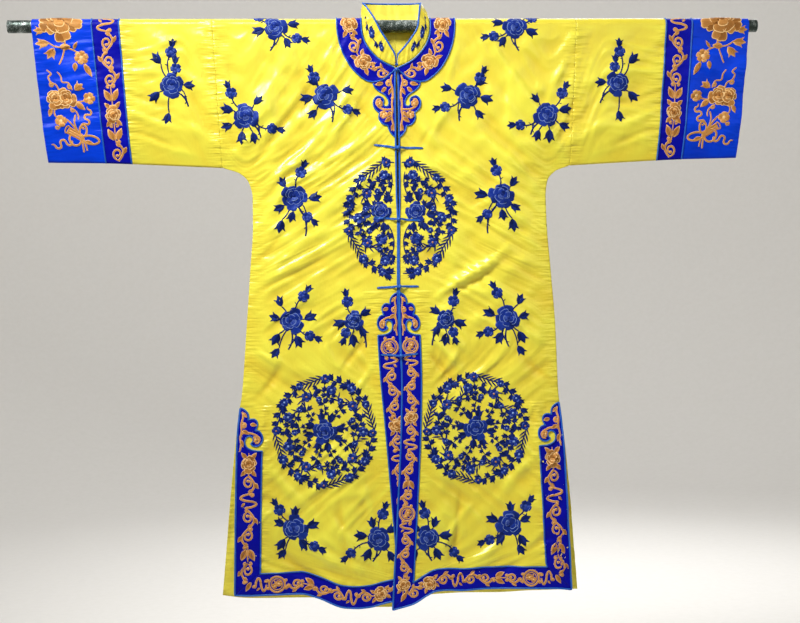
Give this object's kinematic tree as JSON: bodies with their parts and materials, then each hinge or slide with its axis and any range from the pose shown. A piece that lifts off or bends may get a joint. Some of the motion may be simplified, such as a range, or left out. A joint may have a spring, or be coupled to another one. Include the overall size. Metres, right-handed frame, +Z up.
{
  "type": "silk robe on a clothes rod",
  "caption": "Long straight robe of satin with a stand collar, frog closures and dark appliqued borders, hung flat on a straight rod that runs through both sleeves.",
  "frame": {"origin": "on the rod's axis, in the middle of the robe, where the rod is held", "axes": "+X along the rod towards the sleeve at the right of the picture, +Y from the robe's front to its back, +Z up"},
  "size_m": [1.497, 0.0508, 1.2145],
  "materials": {
    "body_satin": "satin",
    "cuff_satin": "satin",
    "border_satin": "satin",
    "piping_satin": "satin",
    "rod": "satin"
  },
  "bodies": {
    "root": {"rod": "rod", "body_left": "body_satin", "body_right": "body_satin", "sleeve_left": "body_satin", "sleeve_right": "body_satin", "collar": "body_satin", "sleeve_band_left": "border_satin", "sleeve_band_right": "border_satin", "cuff_left": "cuff_satin", "cuff_right": "cuff_satin", "band_piping_left": "piping_satin", "band_piping_right": "piping_satin", "cuff_piping_left": "piping_satin", "cuff_piping_right": "piping_satin", "neck_band_left": "border_satin", "neck_band_right": "border_satin", "neck_band_piping_left": "piping_satin", "neck_band_piping_right": "piping_satin", "lappet_left": "border_satin", "lappet_right": "border_satin", "lappet_piping_left": "piping_satin", "lappet_piping_right": "piping_satin", "front_border_left": "border_satin", "front_border_right": "border_satin", "slit_border_left": "border_satin", "slit_border_right": "border_satin", "hem_border_left": "border_satin", "hem_border_right": "border_satin", "border_piping_left": "piping_satin", "border_piping_right": "piping_satin", "edge_piping_left": "piping_satin", "edge_piping_right": "piping_satin", "collar_piping": "piping_satin", "neck_piping": "piping_satin", "neck_knot": "piping_satin", "frog_1_knot": "piping_satin", "frog_1_left": "piping_satin", "frog_1_right": "piping_satin", "frog_2_knot": "piping_satin", "frog_2_left": "piping_satin", "frog_2_right": "piping_satin", "frog_3_knot": "piping_satin", "frog_3_left": "piping_satin", "frog_3_right": "piping_satin", "frog_4_knot": "piping_satin", "frog_4_left": "piping_satin", "frog_4_right": "piping_satin"}
  },
  "joints": []
}
